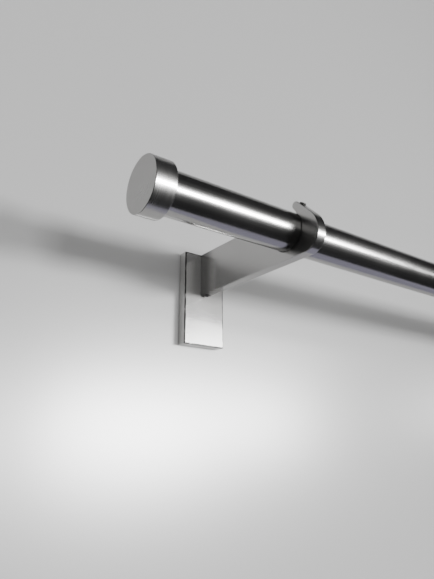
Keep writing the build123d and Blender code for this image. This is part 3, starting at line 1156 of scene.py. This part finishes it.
class CURTAIN_ROD_OT_screws(bpy.types.Operator):
    """Build the grub screws of the hooks, arms and caps"""
    bl_idname = "curtain_rod.screws"
    bl_label = "Grub Screws"

    def execute(self, context):
        rod = context.scene.curtain_rod
        sizes = rod.screws
        hook = Hook(rod.arm, rod.pole, sizes)
        material = blackened_steel(rod.colours)
        pole_surface = rod.pole.diameter / 2 + sizes.clearance
        tongue_underside = tongue_low.z - sizes.clearance
        arm_underside = pole_axis_z - rod.arm.underside
        screw_x = cap_high.x - rod.cap.length + rod.cap.screw_inset
        lip = hook.screw_way * pole_surface
        # Diameter, thread pitch and width of the socket
        large = (sizes.pole_screw, 0.0008, 0.0025)
        small = (sizes.small_screw, 0.0007, 0.002)
        screws = (
            ("pole", (bracket_x, pole_axis_y + lip[0], pole_axis_z + lip[1]),
             (0.0, *hook.screw_way), large,
             hook.screw_face + sizes.pole_screw_stands_out - pole_surface),
            ("arm", (bracket_x, pole_axis_y + hook.arm_screw_y, tongue_underside),
             (0.0, 0.0, -1.0), small,
             tongue_underside - arm_underside + sizes.arm_screw_stands_out),
            ("cap", (screw_x, pole_axis_y + pole_surface, pole_axis_z),
             (0.0, 1.0, 0.0), small,
             rod.cap.diameter / 2 - sizes.cap_screw_sunk - pole_surface),
        )
        for side, sign in SIDES.items():
            for kind, (x, y, z), way, thread, length in screws:
                piece = build_screw(f"{kind}_grub_screw_{side}", (sign * x, y, z), way, length,
                                    thread, material)
                name = f"{kind}_screw_{side}"
                place_piece(piece, name, name)
        return {"FINISHED"}


class CURTAIN_ROD_OT_fittings(bpy.types.Operator):
    """Give the fittings behind the covers their zinc plating"""
    bl_idname = "curtain_rod.fittings"
    bl_label = "Zinc Fittings"

    def execute(self, context):
        plating = zinc_plate(context.scene.curtain_rod.colours)
        for side in SIDES:
            for name in ("backing_plate", "tongue", "tongue_screw_upper", "tongue_screw_lower"):
                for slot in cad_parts[f"{name}_{side}"].material_slots:
                    slot.material = plating
        return {"FINISHED"}


class CURTAIN_ROD_OT_studio(bpy.types.Operator):
    """Build the wall, floor, lights, world and camera"""
    bl_idname = "curtain_rod.studio"
    bl_label = "Studio"

    def execute(self, context):
        rod = context.scene.curtain_rod
        studio = rod.studio
        overlap = 0.0015
        wall_y = 0.0004
        card_y = -0.001
        opening_x = rod.cover.width / 2 - overlap
        opening_z = rod.cover.height / 2 - overlap
        lines_x = [-4.0, -bracket_x - opening_x, -bracket_x + opening_x,
                   bracket_x - opening_x, bracket_x + opening_x, 4.0]
        lines_z = [studio.floor_height, -opening_z, opening_z, pole_axis_z + 1.1]
        wall_paint = one_sided_paint("Wall paint", studio.wall, 0.26, 900.0, 0.00005)
        flat_sheet("studio_wall", lines_x, lines_z, lambda a, b: (a, wall_y, b), wall_paint,
                   holes=[(1, 1), (1, 3)])
        floor_paint = one_sided_paint("Floor paint", studio.floor, 0.6, 60.0, 0.0002)
        floor = flat_sheet("studio_floor", [-6.0, 6.0], [-6.0, 6.0],
                           lambda a, b: (a, b, studio.floor_height), floor_paint)
        floor.visible_glossy = False
        cards = (
            ("studio_card", [-0.43, 1.6], [-1.2, pole_axis_z - 0.12],
             glow_card("Lilac card", (0.30, 0.29, 0.37), (1.55, 2.3))),
            ("studio_dark_card", [-2.5, -0.56], [-1.2, -0.09],
             glow_card("Dark card", (0.02, 0.02, 0.02), (1.0, 1.0))),
        )
        for name, span_x, span_z, glow in cards:
            card = flat_sheet(name, span_x, span_z, lambda a, b: (a, card_y, b), glow)
            card.visible_camera = False
            card.visible_diffuse = False
            card.visible_shadow = False
        middle = (0.0, pole_axis_y, pole_axis_z)
        bracket = (-bracket_x, pole_axis_y, pole_axis_z)
        boxes = (
            ("Key light", (0.86, -2.86, -0.02), bracket, 0.9, 0.42, studio.key_power, True),
            ("Second light", (-0.30, -2.9, -0.02), bracket, 0.6, 0.42, studio.second_power, True),
            ("Key shine", (1.2, -2.75, 0.10), bracket, 1.6, 0.36, 165.0, False),
            ("Far card", (4.5, -2.35, 0.32), middle, 1.4, 0.4, 20.0, False),
            ("High card", (1.75, -2.7, 0.62), bracket, 1.2, 0.3, 9.0, False),
            ("Upper card", (1.9, -2.7, 1.4), bracket, 2.6, 1.2, 0.8, False),
            ("Left card", (-2.6, -2.9, 1.35), bracket, 1.8, 2.2, 8.5, False),
            ("Back light", (0.0, 1.6, 0.4), (0.0, 0.0, 0.0), 1.6, 0.8, 12.0, True),
        )
        for box in boxes:
            soft_box(*box)
        build_world(studio.ambient)
        build_camera()
        return {"FINISHED"}


OPERATORS = (
    CURTAIN_ROD_OT_pole,
    CURTAIN_ROD_OT_caps,
    CURTAIN_ROD_OT_covers,
    CURTAIN_ROD_OT_arms,
    CURTAIN_ROD_OT_screws,
    CURTAIN_ROD_OT_fittings,
    CURTAIN_ROD_OT_studio,
)


class CURTAIN_ROD_PT_panel(bpy.types.Panel):
    """Lists what the curtain rod is built from"""
    bl_idname = "CURTAIN_ROD_PT_panel"
    bl_label = "Curtain Rod"
    bl_space_type = "VIEW_3D"
    bl_region_type = "UI"
    bl_category = "Curtain Rod"

    def draw(self, context):
        for operator in OPERATORS:
            self.layout.operator(operator.bl_idname)


CLASSES = (
    PoleSizes,
    CapSizes,
    CoverSizes,
    ArmSizes,
    ScrewSizes,
    FinishColours,
    StudioSettings,
    CurtainRodSettings,
    *OPERATORS,
    CURTAIN_ROD_PT_panel,
)


def register():
    for cls in CLASSES:
        bpy.utils.register_class(cls)
    bpy.types.Scene.curtain_rod = PointerProperty(
        type=CurtainRodSettings, name="Curtain Rod", description="Settings of the curtain rod")


def unregister():
    del bpy.types.Scene.curtain_rod
    for cls in reversed(CLASSES):
        bpy.utils.unregister_class(cls)


def main():
    register()
    bpy.ops.curtain_rod.studio()
    bpy.ops.curtain_rod.pole()
    bpy.ops.curtain_rod.caps()
    bpy.ops.curtain_rod.covers()
    bpy.ops.curtain_rod.arms()
    bpy.ops.curtain_rod.screws()
    bpy.ops.curtain_rod.fittings()


if __name__ == "__main__":
    main()
